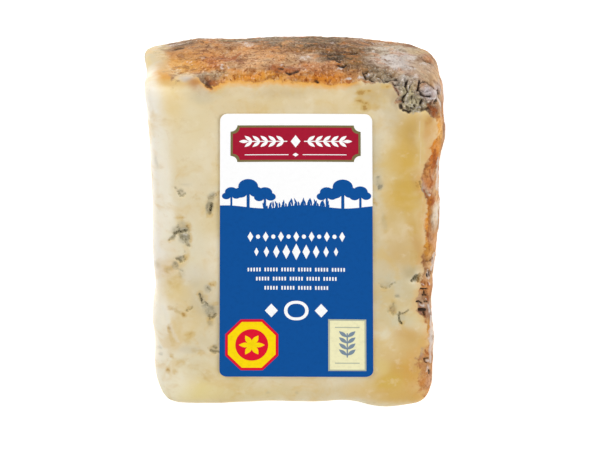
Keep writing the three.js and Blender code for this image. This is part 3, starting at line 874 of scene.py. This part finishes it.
def paste_colour(s, marks):
    """The pale paste: clouded cream and yellow, with soft ochre stains and speckled blue-grey veins."""
    ochre, vein, line = marks["ochre"], marks["vein"], marks["line"]
    fine = s.noise(0.55, detail=4, roughness=0.6)
    finer = s.noise(0.4, roughness=0.6)
    soft = s.noise(1.4)
    return s.layered(
        s.attribute("paste_tint", "Color"),
        ("ece4ce", 0.3, s.step(s.noise(10), 0.46, 0.72)),
        ("d6b365", 0.4, s.step(s.noise(7, distortion=0.6), 0.48, 0.7)),
        ("f0e8d4", 0.2, s.step(s.noise(2.6, detail=4), 0.56, 0.76)),
        ("c7a868", 0.2, s.step(s.noise(1.8, detail=4), 0.57, 0.76)),
        ("caa658", 0.6, s.ragged(ochre, soft, 1.2, 0, 1.1)),
        ("ab803c", 0.75, s.mottled(ochre, soft, 3, 0.8, 1.6)),
        ("a49d87", 0.7, s.step(vein, 0, 0.95)),
        ("7d7764", 0.45, s.mottled(vein, soft, 3, 0.4, 1)),
        ("5f593f", 0.5, s.mottled(vein, fine, 5, 0.75, 1.5)),
        ("776c48", 0.65, s.mottled(line, fine, 4, 0.2, 1.1)),
        ("1f190c", 0.85, s.mottled(line, finer, 4.5, 1.05, 1.8)),
        # Pale lines: pale marks, and painted highlights along the rounded edges of the upper face.
        ("e6e1d4", 0.7, s.step(marks["pale"], 0.1, 0.9)),
    )


def rind_colour(s, marks):
    """The rind: orange-brown, with brown streaks, pale crumbs, painted highlights on its fine grain and a
    lilac-white bloom.
    """
    grain = s.noise(0.7, roughness=0.6, squeeze=(1.2, 0.5, 0.5))
    specks = s.noise(0.8, roughness=0.6, squeeze=(1.1, 0.55, 0.55))
    clumps = s.noise(1.8, detail=4, roughness=0.6, squeeze=(1, 0.6, 0.6))
    streaks = s.noise(1.6, detail=4, roughness=0.6, squeeze=(0.35, 0.9, 0.9))
    patches = s.noise(4, detail=4, roughness=0.6)
    rough = s.attribute("rough")
    bloom = s.from_middle(streaks, -1.2, marks["bloom"])
    return s.layered(
        s.attribute("rind_tint", "Color"),
        ("cf7d22", 0.4, s.scaled(s.step(patches, 0.5, 0.64), rough)),
        ("b39a7e", 0.7, s.step(patches, 0.48, 0.36), "MULTIPLY"),
        ("615540", 1, s.step(clumps, 0.5, 0.62), "SCREEN"),
        ("9c7a58", 0.4, s.scaled(s.step(streaks, 0.5, 0.62), rough), "MULTIPLY"),
        # Painted highlights: pale flecks on the fine grain of the crust, standing for light on its crumbs.
        ("766759", 1, s.scaled(s.step(grain, 0.52, 0.68), rough), "SCREEN"),
        ("b89474", 1, s.scaled(s.step(specks, 0.52, 0.68), rough), "MULTIPLY"),
        ("d3c9c2", 0.7, s.ragged(bloom, grain, 2.2, 0.3, 1.1)),
    )


def mould_colour(s, marks):
    """The swollen grey mould: olive and lilac lobes, flecked pale and dark; the cheese's material adds
    painted shade in their hollows.
    """
    grain = s.noise(0.7, detail=4, roughness=0.65)
    clumps = s.noise(1.6, detail=4, roughness=0.65)
    return s.layered(
        s.attribute("rind_tint", "Color"),
        ("cfc4b4", 0.35, s.step(clumps, 0.5, 0.62)),
        ("6a573f", 0.35, s.step(clumps, 0.48, 0.38)),
        ("f2ecdf", 0.65, s.step(grain, 0.54, 0.66)),
        ("35291c", 0.5, s.step(grain, 0.45, 0.33)),
        ("ddd5d2", 0.75, s.ragged(marks["bloom"], grain, 1.2, 0.4, 1.1)),
    )


def cheese_material():
    s = Shader("cheese_paste_and_rind")
    marks = {name: s.attribute(name) for name in ("vein", "line", "ochre", "pale", "rust", "dark", "bloom")}
    fine = s.noise(0.7, detail=4, roughness=0.6)
    coarse = s.noise(1.5, detail=4, roughness=0.6)
    inside = s.attribute("inside")
    rind = s.ragged(inside, coarse, 2.4, -0.35, 0.35)
    colour = s.layered(
        paste_colour(s, marks),
        ("d99a3c", 0.9, s.scaled(s.ragged(inside, coarse, 2, -2, 0), s.attribute("golden"))),
        (rind_colour(s, marks), 1, rind),
        (mould_colour(s, marks), 1, s.ragged(s.attribute("mould"), coarse, 1.2, 0.4, 0.6)),
        # Painted shade in the rind's cracks and in the hollows between the mould's lobes.
        ("3f2c1c", 0.6, s.ragged(s.attribute("crease_shade"), fine, 1.6, 0.35, 0.9)),
        ("9a5220", 0.75, s.ragged(marks["rust"], fine, 1.4, 0.25, 0.95)),
        # Dark lines: dark marks on the rind, the crust and the rim, and painted shade along the folds of
        # the mould.
        ("4a3420", 0.7, s.ragged(marks["dark"], fine, 1.6, 0.25, 0.9)),
        ("1a110a", 0.85, s.ragged(marks["dark"], fine, 1.6, 0.8, 1.2)),
    )
    normal = s.bump(s.noise(0.35, roughness=0.6), 0.03)
    for grain in (fine, coarse):
        normal = s.bump(s.from_middle(grain, rind, 0.5), 0.28, normal)
    return s.finish(
        colour,
        s.maths("MULTIPLY_ADD", rind, 0.3, 0.42),
        normal,
        Specular_IOR_Level=0.15,
        Subsurface_Weight=0.05,
        Subsurface_Radius=(1.0, 0.6, 0.3),
        Subsurface_Scale=1.5 * MM,
        Coat_Weight=0.03,
        Coat_Roughness=0.25,
    )


def darker(colour, share):
    """A hexadecimal colour, with a share taken off each of its channels."""
    return "".join(f"{int(int(colour[k : k + 2], 16) * (1 - share)):02x}" for k in (0, 2, 4))


def print_material(name, colour, unevenness=0.06):
    """Printed paper: one ink, very slightly uneven, on a faint tooth of fibres."""
    s = Shader(name)
    shade = s.mix(colour, darker(colour, unevenness), s.step(s.noise(1.1), 0.4, 0.9))
    return s.finish(shade, 0.5, s.bump(s.noise(0.3, detail=2), 0.003), Specular_IOR_Level=0.1)


# ---- The label's print ----

# A place on the label is x across it and y up it from its centre, then width and height.
PANEL = (-0.15, 31.2, 34.2, 10.6)
PANEL_CORNER = 1.8
RING = (0, -19, 6.4, 6)
SEAL = (-11.6, -29.7, 13.8, 15.9)
CREAM = (13.25, -29.7, 9.9, 16.2)
# The height of the hills at the top of the blue field, and the trees on them: x and size.
HILLS_Y = 12.6
TREES = [(-17.0, 2.6), (-12.6, 4.0), (-8.2, 3.0), (8.0, 2.8), (12.2, 4.1), (16.8, 3.0)]

# Each layer of ink lies higher than the one below it, and reaches down into it.
LAYER = 0.02
INK_THICKNESS = 0.03
# The ink and the paper are cut along a grid to follow the surface, but not into slivers.
PRINT_GRID = 2.5
SLIVER = 0.001
SHARP_ANGLE = math.radians(40)
# How wide a leaf of a sprig is for its length, and how many degrees it leans from the stem.
LEAF_SHAPE = 0.36
LEAF_LEAN = 38

INKS = {
    "blue": "04509a",
    "gold": "7a7148",
    "crimson": "a71632",
    "white": "ffffff",
    "red": "e20e2e",
    "yellow": "ffdc00",
    "cream": "f2edc0",
    "grey": "b4b9a4",
    "slate": "7d8f9f",
}


def rectangle(x, y, width, height):
    return [(x + a * width / 2, y + b * height / 2) for a, b in ((-1, -1), (1, -1), (1, 1), (-1, 1))]


def lozenge(x, y, width, height):
    return [(x + a * width / 2, y + b * height / 2) for a, b in ((-1, 0), (0, -1), (1, 0), (0, 1))]


def arc(x, y, half_width, half_height, start, end, steps=6):
    """Points on an ellipse, from one angle to another in degrees."""
    turns = np.radians(np.linspace(start, end, steps + 1))
    return [(x + half_width * math.cos(turn), y + half_height * math.sin(turn)) for turn in turns]


def ellipse(x, y, width, height, steps=40):
    return arc(x, y, width / 2, height / 2, 0, 360, steps)[:-1]


def octagon(x, y, width, height):
    stretch = 0.5 / math.cos(math.pi / 8)
    return arc(x, y, width * stretch, height * stretch, 22.5, 382.5, 8)[:-1]


def rounded(x, y, width, height, radius, hollow=False):
    """A rectangle with its corners rounded off, or cut by hollow quarter circles."""
    inward, start, end = (0, 270, 180) if hollow else (radius, 0, 90)
    outline = []
    for quarter, (side, top) in enumerate(((1, 1), (-1, 1), (-1, -1), (1, -1))):
        centre = (x + side * (width / 2 - inward), y + top * (height / 2 - inward))
        outline += arc(*centre, radius, radius, 90 * quarter + start, 90 * quarter + end)
    return outline


def inset(place, amount):
    """The place, less wide and less high by the amount."""
    x, y, width, height = place
    return x, y, width - amount, height - amount


def shrunk(place, share):
    x, y, width, height = place
    return x, y, width * share, height * share


def leaf(x, y, length, width, turn):
    """A pointed leaf that starts at x, y."""
    side = [(length * t, width / 2 * math.sin(math.pi * t)) for t in np.linspace(0, 1, 9)]
    outline = side + [(a, -b) for a, b in side[-2:0:-1]]
    cos, sin = math.cos(math.radians(turn)), math.sin(math.radians(turn))
    return [(x + a * cos - b * sin, y + a * sin + b * cos) for a, b in outline]


def sprig(x, y, length, leaf_length, pairs, direction):
    """A stem along X with pairs of leaves that lean the way it grows."""
    facing = 0 if direction > 0 else 180
    leaf_width = leaf_length * LEAF_SHAPE
    shapes = [rectangle(x + direction * length / 2, y, length, 0.28)]
    for k in range(pairs):
        foot = x + direction * length * (k + 0.4) / pairs
        for lean in (LEAF_LEAN * direction, -LEAF_LEAN * direction):
            shapes.append(leaf(foot, y, leaf_length, leaf_width, facing + lean))
    return shapes + [leaf(x + direction * length * 0.97, y, leaf_length, leaf_width, facing)]


def upright_sprig(x, y):
    """A stem up the label with four pairs of leaves."""
    shapes = [rectangle(x, y, 0.35, 7.6)]
    for k in range(4):
        shapes += [leaf(x, y - 3.2 + k * 1.9, 2.9, 1.1, turn) for turn in (42, 138)]
    return shapes


def hill_top(x):
    return HILLS_Y + 0.5 * math.sin(0.3 * x + 0.9)


def blue_field():
    """The lower field, with rolling hills for its upper edge."""
    half_width, bottom, radius = LABEL_WIDTH / 2, -LABEL_HEIGHT / 2, LABEL_CORNER
    hills = [(x, hill_top(x)) for x in np.linspace(half_width, -half_width, 45)]
    left = arc(-half_width + radius, bottom + radius, radius, radius, 180, 270)
    right = arc(half_width - radius, bottom + radius, radius, radius, 270, 360)
    return hills + left + right


def trees():
    """Broad trees, each with three overlapping crowns."""
    shapes = []
    for x, size in TREES:
        foot = hill_top(x)
        shapes.append(rectangle(x, foot + size * 0.4, size * 0.2, size * 1.2))
        for across, up, width in ((0, 1.55, 1.3), (-0.5, 1.1, 0.9), (0.5, 1.15, 0.9)):
            crown = (x + across * size, foot + up * size, width * size, width * size * 0.85)
            shapes.append(ellipse(*crown, 20))
    return shapes


def grass():
    """Blades of uneven length, standing along the middle of the field's upper edge."""
    return [
        leaf(x, hill_top(x) - 0.4, 2.0 + 0.7 * math.sin(5.1 * x), 0.5, 90 + 20 * math.sin(3.7 * x))
        for x in np.arange(-8.5, 8.6, 0.42)
    ]


def panel_ornament():
    """A lozenge between two sprigs, and below them a line with a small lozenge in its middle."""
    x, y = PANEL[:2]
    shapes = [lozenge(x, y + 0.7, 2.6, 3.6)]
    for side in (1, -1):
        shapes += sprig(x + side * 2.2, y + 0.7, 10.4, 2.6, 5, side)
        shapes.append(rectangle(x + side * 7.6, y - 3.2, 11.5, 0.22))
    return shapes + [lozenge(x, y - 3.2, 1.6, 1.1)]


def field_ornament():
    """White ornament on the blue field: beads, lozenges and rows of ticks in groups."""
    shapes = []
    for k in range(-6, 7):
        bead = ellipse(k * 2, 3.6, 1.1, 1.3, 12)
        shapes.append(bead if k % 2 else lozenge(k * 2, 3.6, 1.5, 3))
    for k in range(-4, 5):
        size = 1 - 0.12 * abs(k)
        shapes.append(lozenge(k * 2.6, -1.0, 2.2 * size, 5 * size))
    for row, groups in ((-6.4, 6), (-9.2, 5), (-12.0, 4)):
        for group in range(groups):
            centre = (group - (groups - 1) / 2) * 4.4
            shapes += [rectangle(centre + k * 0.75, row, 0.4, 1.1) for k in range(-2, 3)]
    return shapes


def cut_along_grid(shape, axis, low, high):
    """Splits the flat shape wherever a line of the grid crosses it."""
    normal = Vector((0, 0, 0))
    normal[axis] = 1
    first = math.ceil((low + SLIVER) / PRINT_GRID) * PRINT_GRID
    for cut in np.arange(first, high - SLIVER, PRINT_GRID):
        parts = shape.verts[:] + shape.edges[:] + shape.faces[:]
        bmesh.ops.bisect_plane(shape, geom=parts, plane_co=normal * cut, plane_no=normal, dist=1e-5)


def slab(outline, lift, thickness, ink):
    """A thin flat shape on the label that follows the paper, as (points, faces, ink)."""
    shape = bmesh.new()
    face = shape.faces.new([shape.verts.new((x, y, 0)) for x, y in outline])
    face.normal_update()
    if face.normal.z < 0:
        face.normal_flip()
    for axis, reach in enumerate(zip(*outline)):
        cut_along_grid(shape, axis, min(reach), max(reach))
    bmesh.ops.triangulate(shape, faces=shape.faces[:])
    shape.verts.index_update()
    flat = np.array([vertex.co[:2] for vertex in shape.verts])
    top = [[vertex.index for vertex in face.verts] for face in shape.faces]
    shape.free()
    sides = [(a, b) for face in top for a, b in zip(face, face[1:] + face[:1])]
    rim = set(sides) - {(b, a) for a, b in sides}
    count = len(flat)
    faces = top + [[index + count for index in face[::-1]] for face in top]
    faces += [[b, a, a + count, b + count] for a, b in rim]
    points = np.vstack([on_label(*flat.T, height) for height in (lift, lift - thickness)])
    return points, faces, ink


def mesh_of_slabs(name, slabs, materials):
    """All the slabs in one mesh, each with the material of its ink."""
    points, faces, inks = [], [], []
    count = 0
    for slab_points, slab_faces, ink in slabs:
        points.append(slab_points)
        faces += [[index + count for index in face] for face in slab_faces]
        inks += [list(materials).index(ink)] * len(slab_faces)
        count += len(slab_points)
    mesh = bpy.data.meshes.new(name)
    mesh.from_pydata((np.vstack(points) * MM).tolist(), [], faces)
    for material in materials.values():
        mesh.materials.append(material)
    mesh.polygons.foreach_set("material_index", inks)
    mesh.set_sharp_from_angle(angle=SHARP_ANGLE)
    return mesh


def label_prints():
    prints = []

    def stamp(ink, layer, *outlines):
        prints.extend(slab(outline, layer * LAYER, INK_THICKNESS, ink) for outline in outlines)

    stamp("blue", 1, blue_field())
    for k, shape in enumerate(trees() + grass()):
        stamp("blue", 1 + 0.1 * (k % 7 + 1), shape)
    stamp("gold", 1, rounded(*PANEL, PANEL_CORNER, hollow=True))
    stamp("crimson", 2, rounded(*inset(PANEL, 1.2), PANEL_CORNER, hollow=True))
    stamp("white", 3, *panel_ornament())
    stamp("white", 2, *field_ornament())
    stamp("white", 2, rounded(*RING, 2.9))
    stamp("blue", 3, rounded(*inset(RING, 1.8), 2))
    stamp("white", 2, *(lozenge(x, RING[1], 3.4, 4.2) for x in (-6.5, 6.5)))
    stamp("red", 2, octagon(*SEAL))
    stamp("yellow", 3, octagon(*shrunk(SEAL, 0.9)))
    stamp("red", 4, ellipse(*shrunk(SEAL, 0.62)))
    stamp("yellow", 5, *(leaf(*SEAL[:2], 3.4, 1.5, turn) for turn in range(0, 360, 60)))
    stamp("grey", 2, rectangle(*CREAM))
    stamp("cream", 3, rectangle(*inset(CREAM, 0.9)))
    stamp("grey", 4, *(rectangle(CREAM[0], CREAM[1] + up, 6.4, 0.3) for up in (5.6, -5.6)))
    stamp("slate", 4, *upright_sprig(*CREAM[:2]))
    return prints


def make_label():
    paper = slab(rounded(0, 0, LABEL_WIDTH, LABEL_HEIGHT, LABEL_CORNER), 0, PAPER_THICKNESS, "paper")
    white = {"paper": print_material("paper_white", "ffffff", 0.01)}
    paper_mesh = mesh_of_slabs("label_paper", [paper], white)
    sheet = add_piece(paper_mesh, "label_paper")
    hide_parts("label")
    inks = {name: print_material(f"ink_{name}", colour) for name, colour in INKS.items()}
    print_mesh = mesh_of_slabs("label_print", label_prints(), inks)
    add_piece(print_mesh, "label_print")


# ---- The floor, the light and the camera ----

FLOOR_SIZE = 4000
FLOOR_GLOW = 0.5
WORLD_STRENGTH = 0.45
LIGHT_SIZE = 500
LIGHT_AIM = (0, 0, 20)
# Where each light stands, and its power in watts.
LIGHTS = {"key": ((-520, 480, 700), 6.2), "fill": ((620, -160, 520), 3.2)}
NEAREST_SEEN = 10
FARTHEST_SEEN = 100000
WHITE = (1, 1, 1, 1)


def make_floor():
    bpy.ops.mesh.primitive_plane_add(size=FLOOR_SIZE * MM)
    floor = bpy.context.object
    floor.name = "floor"
    s = Shader("floor_white")
    tone = s.mix("f4f4f4", "eeeeee", s.noise(80, detail=2))
    s.surface.inputs["Emission Color"].default_value = WHITE
    floor.data.materials.append(s.finish(tone, 0.9, Specular_IOR_Level=0.1, Emission_Strength=FLOOR_GLOW))


def make_light(name, place, power):
    """A square soft light that is aimed at the object."""
    data = bpy.data.lights.new(name, "AREA")
    data.size = LIGHT_SIZE * MM
    data.energy = power
    light = bpy.data.objects.new(name, data)
    light.location = Vector(place) * MM
    light.rotation_euler = (Vector(LIGHT_AIM) - Vector(place)).to_track_quat("-Z", "Y").to_euler()
    bpy.context.scene.collection.objects.link(light)


def make_surroundings():
    make_floor()
    world = bpy.data.worlds.new("studio")
    world.use_nodes = True
    background = world.node_tree.nodes["Background"]
    background.inputs["Color"].default_value = WHITE
    background.inputs["Strength"].default_value = WORLD_STRENGTH
    bpy.context.scene.world = world
    for name, (place, power) in LIGHTS.items():
        make_light(name, place, power)


def make_camera():
    data = bpy.data.cameras.new("camera")
    data.sensor_width = SENSOR_WIDTH
    data.lens = FOCAL_PIXELS / PHOTO_WIDTH * SENSOR_WIDTH
    data.clip_start = NEAREST_SEEN * MM
    data.clip_end = FARTHEST_SEEN * MM
    camera = bpy.data.objects.new("camera", data)
    camera.location = (CAMERA_X * MM, CAMERA_Y * MM, CAMERA_HEIGHT * MM)
    bpy.context.scene.collection.objects.link(camera)
    bpy.context.scene.camera = camera
    bpy.context.scene.view_settings.view_transform = "Standard"
    bpy.context.scene.cycles.use_denoising = True


make_camera()
make_surroundings()
make_cheese()
make_label()
